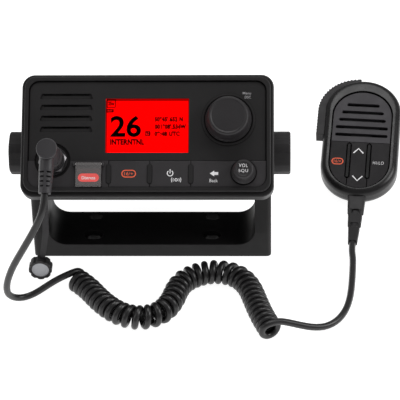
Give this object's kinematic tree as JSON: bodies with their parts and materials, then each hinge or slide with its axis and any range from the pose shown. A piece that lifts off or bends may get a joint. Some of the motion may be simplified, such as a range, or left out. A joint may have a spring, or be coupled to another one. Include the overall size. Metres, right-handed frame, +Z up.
{
  "type": "vhf marine radio",
  "caption": "Fixed-mount VHF marine radio in a trunnion bracket, with colour display, knobs, fist microphone and curly cord.",
  "frame": {"origin": "middle of the trunnion bracket's underside, straight below the trunnion axis", "axes": "+X to the radio's right as seen by its user, +Y away from the user, +Z up"},
  "size_m": [0.2933, 0.2667, 0.1421],
  "materials": {
    "black_plastic": "fine texture",
    "frame_metal": "satin powder coat",
    "chassis_metal": "fine powder coat",
    "band_grey": "satin",
    "soft_rubber": "matt",
    "knob_rubber": "matt",
    "cord_skin": "satin",
    "window_glass": "clear",
    "lcd_red": "backlit",
    "smoky_clear": "clear, smoky",
    "button_red": "satin",
    "seal_grey": "matt",
    "foam": "foam",
    "board_green": "solder mask",
    "steel": "machined",
    "dark_metal": "black oxide",
    "tin": "tinned",
    "nickel": "nickel plate",
    "cone_paper": "paper",
    "mic_plastic": "satin",
    "mic_panel_grey": "fine texture",
    "washer_nylon": "nylon"
  },
  "bodies": {
    "base": {"trunnion_bracket": "black_plastic", "friction_washers": "washer_nylon", "mic_front_shell": "mic_plastic", "mic_rear_shell": "mic_plastic", "mic_grille": "mic_panel_grey", "mic_ptt_pin": "steel", "mic_board": "board_green", "mic_element": "dark_metal", "mic_hang_stud": "nickel", "mic_screws": "steel", "mic_relief": "soft_rubber", "cord_coil": "cord_skin", "cord_mic_end": "cord_skin", "cord_plug_end": "cord_skin"},
    "radio": {"front_bezel": "black_plastic", "front_frame": "frame_metal", "front_gasket": "foam", "band_panel_left": "band_grey", "key_switches": "dark_metal", "display_window": "window_glass", "display_gasket": "foam", "lcd_module": "lcd_red", "front_board": "board_green", "housing_screws": "steel", "speaker_frame": "dark_metal", "speaker_cone": "cone_paper", "channel_encoder": "dark_metal", "volume_encoder": "dark_metal", "distress_cover_pin": "steel", "mic_socket": "dark_metal", "socket_nut": "dark_metal", "plug_body": "soft_rubber", "plug_relief": "soft_rubber", "dust_cap_strap": "soft_rubber", "rear_chassis": "chassis_metal", "main_board": "board_green", "rf_shield": "tin", "antenna_socket": "nickel", "power_gland": "soft_rubber", "accessory_socket": "soft_rubber"},
    "channel_shaft": {"channel_shaft": "steel"},
    "channel_knob": {"channel_knob": "knob_rubber"},
    "volume_shaft": {"volume_shaft": "steel"},
    "volume_knob": {"volume_knob": "knob_rubber"},
    "distress_cover": {"distress_cover": "smoky_clear"},
    "distress_button": {"distress_button": "button_red"},
    "key_16": {"key_16": "band_grey"},
    "key_power": {"key_power": "band_grey"},
    "key_back": {"key_back": "band_grey"},
    "coupling_ring": {"plug_coupling_ring": "black_plastic"},
    "dust_cap": {"dust_cap": "soft_rubber", "dust_cap_seal": "seal_grey"},
    "mic_ptt": {"mic_ptt": "soft_rubber"},
    "mic_rocker": {"mic_rocker": "mic_panel_grey"},
    "mic_key_16": {"mic_key_16": "mic_panel_grey"},
    "mic_key_power_level": {"mic_key_power_level": "mic_panel_grey"},
    "clamp_left": {"clamp_knob_left": "knob_rubber", "clamp_stud_left": "steel"},
    "clamp_right": {"clamp_knob_right": "knob_rubber", "clamp_stud_right": "steel"}
  },
  "joints": [
    {"name": "trunnion_tilt", "type": "hinge", "parent": "base", "child": "radio", "pos_m": [0, 0, 0.08], "axis": [1, 0, 0], "range_deg": [-4, 48], "deforming": ["cord_plug_end"]},
    {"name": "clamp_left_turn", "type": "hinge", "parent": "radio", "child": "clamp_left", "pos_m": [-0.095, 0, 0.08], "axis": [1, 0, 0], "continuous": true},
    {"name": "clamp_right_turn", "type": "hinge", "parent": "radio", "child": "clamp_right", "pos_m": [0.095, 0, 0.08], "axis": [1, 0, 0], "continuous": true},
    {"name": "channel_push", "type": "slide", "parent": "radio", "child": "channel_shaft", "axis": [0, 0.6691, -0.7431], "range_m": [0, 0.0006], "stiffness_N_per_m": 1500, "springref_m": -0.0012},
    {"name": "channel_turn", "type": "hinge", "parent": "channel_shaft", "child": "channel_knob", "pos_m": [0.0577, -0.02209, 0.1274], "axis": [0, -0.6691, 0.7431], "continuous": true},
    {"name": "volume_push", "type": "slide", "parent": "radio", "child": "volume_shaft", "axis": [0, 0.6691, -0.7431], "range_m": [0, 0.0006], "stiffness_N_per_m": 1500, "springref_m": -0.0012},
    {"name": "volume_turn", "type": "hinge", "parent": "volume_shaft", "child": "volume_knob", "pos_m": [0.0685, -0.05055, 0.10177], "axis": [0, -0.6691, 0.7431], "continuous": true},
    {"name": "distress_cover_lift", "type": "hinge", "parent": "radio", "child": "distress_cover", "pos_m": [-0.0412, -0.04095, 0.09978], "axis": [-1, 0, 0], "range_deg": [0, 110], "stiffness_Nm_per_rad": 0.004, "springref_deg": -22.92},
    {"name": "distress_press", "type": "slide", "parent": "radio", "child": "distress_button", "axis": [0, 0.6691, -0.7431], "range_m": [0, 0.0008], "stiffness_N_per_m": 1200, "springref_m": -0.0012},
    {"name": "key_16_press", "type": "slide", "parent": "radio", "child": "key_16", "axis": [0, 0.6691, -0.7431], "range_m": [0, 0.0005], "stiffness_N_per_m": 1200, "springref_m": -0.0012},
    {"name": "key_power_press", "type": "slide", "parent": "radio", "child": "key_power", "axis": [0, 0.6691, -0.7431], "range_m": [0, 0.0005], "stiffness_N_per_m": 1200, "springref_m": -0.0012},
    {"name": "key_back_press", "type": "slide", "parent": "radio", "child": "key_back", "axis": [0, 0.6691, -0.7431], "range_m": [0, 0.0005], "stiffness_N_per_m": 1200, "springref_m": -0.0012},
    {"name": "coupling_ring_turn", "type": "hinge", "parent": "radio", "child": "coupling_ring", "pos_m": [-0.067, -0.04408, 0.10759], "axis": [0, -0.6691, 0.7431], "continuous": true},
    {"name": "dust_cap_swing", "type": "hinge", "parent": "radio", "child": "dust_cap", "pos_m": [-0.072, -0.05643, 0.08678], "axis": [1, 0, 0], "range_deg": [-116, 10], "deforming": ["dust_cap_strap"]},
    {"name": "mic_talk", "type": "hinge", "parent": "base", "child": "mic_ptt", "pos_m": [0.15718, 0.13997, 0.04362], "axis": [-0.0316, -0.3406, 0.9397], "range_deg": [0, 2.2], "stiffness_Nm_per_rad": 1.5, "springref_deg": -5.73},
    {"name": "mic_rocker_tilt", "type": "hinge", "parent": "base", "child": "mic_rocker", "pos_m": [0.15433, 0.06385, 0.02189], "axis": [0.9957, -0.0924, 0], "range_deg": [-2, 2], "stiffness_Nm_per_rad": 0.8},
    {"name": "mic_key_16_press", "type": "slide", "parent": "base", "child": "mic_key_16", "axis": [0.0316, 0.3406, -0.9397], "range_m": [0, 0.0004], "stiffness_N_per_m": 1200, "springref_m": -0.0012},
    {"name": "mic_key_power_level_press", "type": "slide", "parent": "base", "child": "mic_key_power_level", "axis": [0.0316, 0.3406, -0.9397], "range_m": [0, 0.0004], "stiffness_N_per_m": 1200, "springref_m": -0.0012}
  ],
  "couplings": [
    {"joint": "dust_cap_swing", "follows": "trunnion_tilt", "ratio": -2.4}
  ]
}
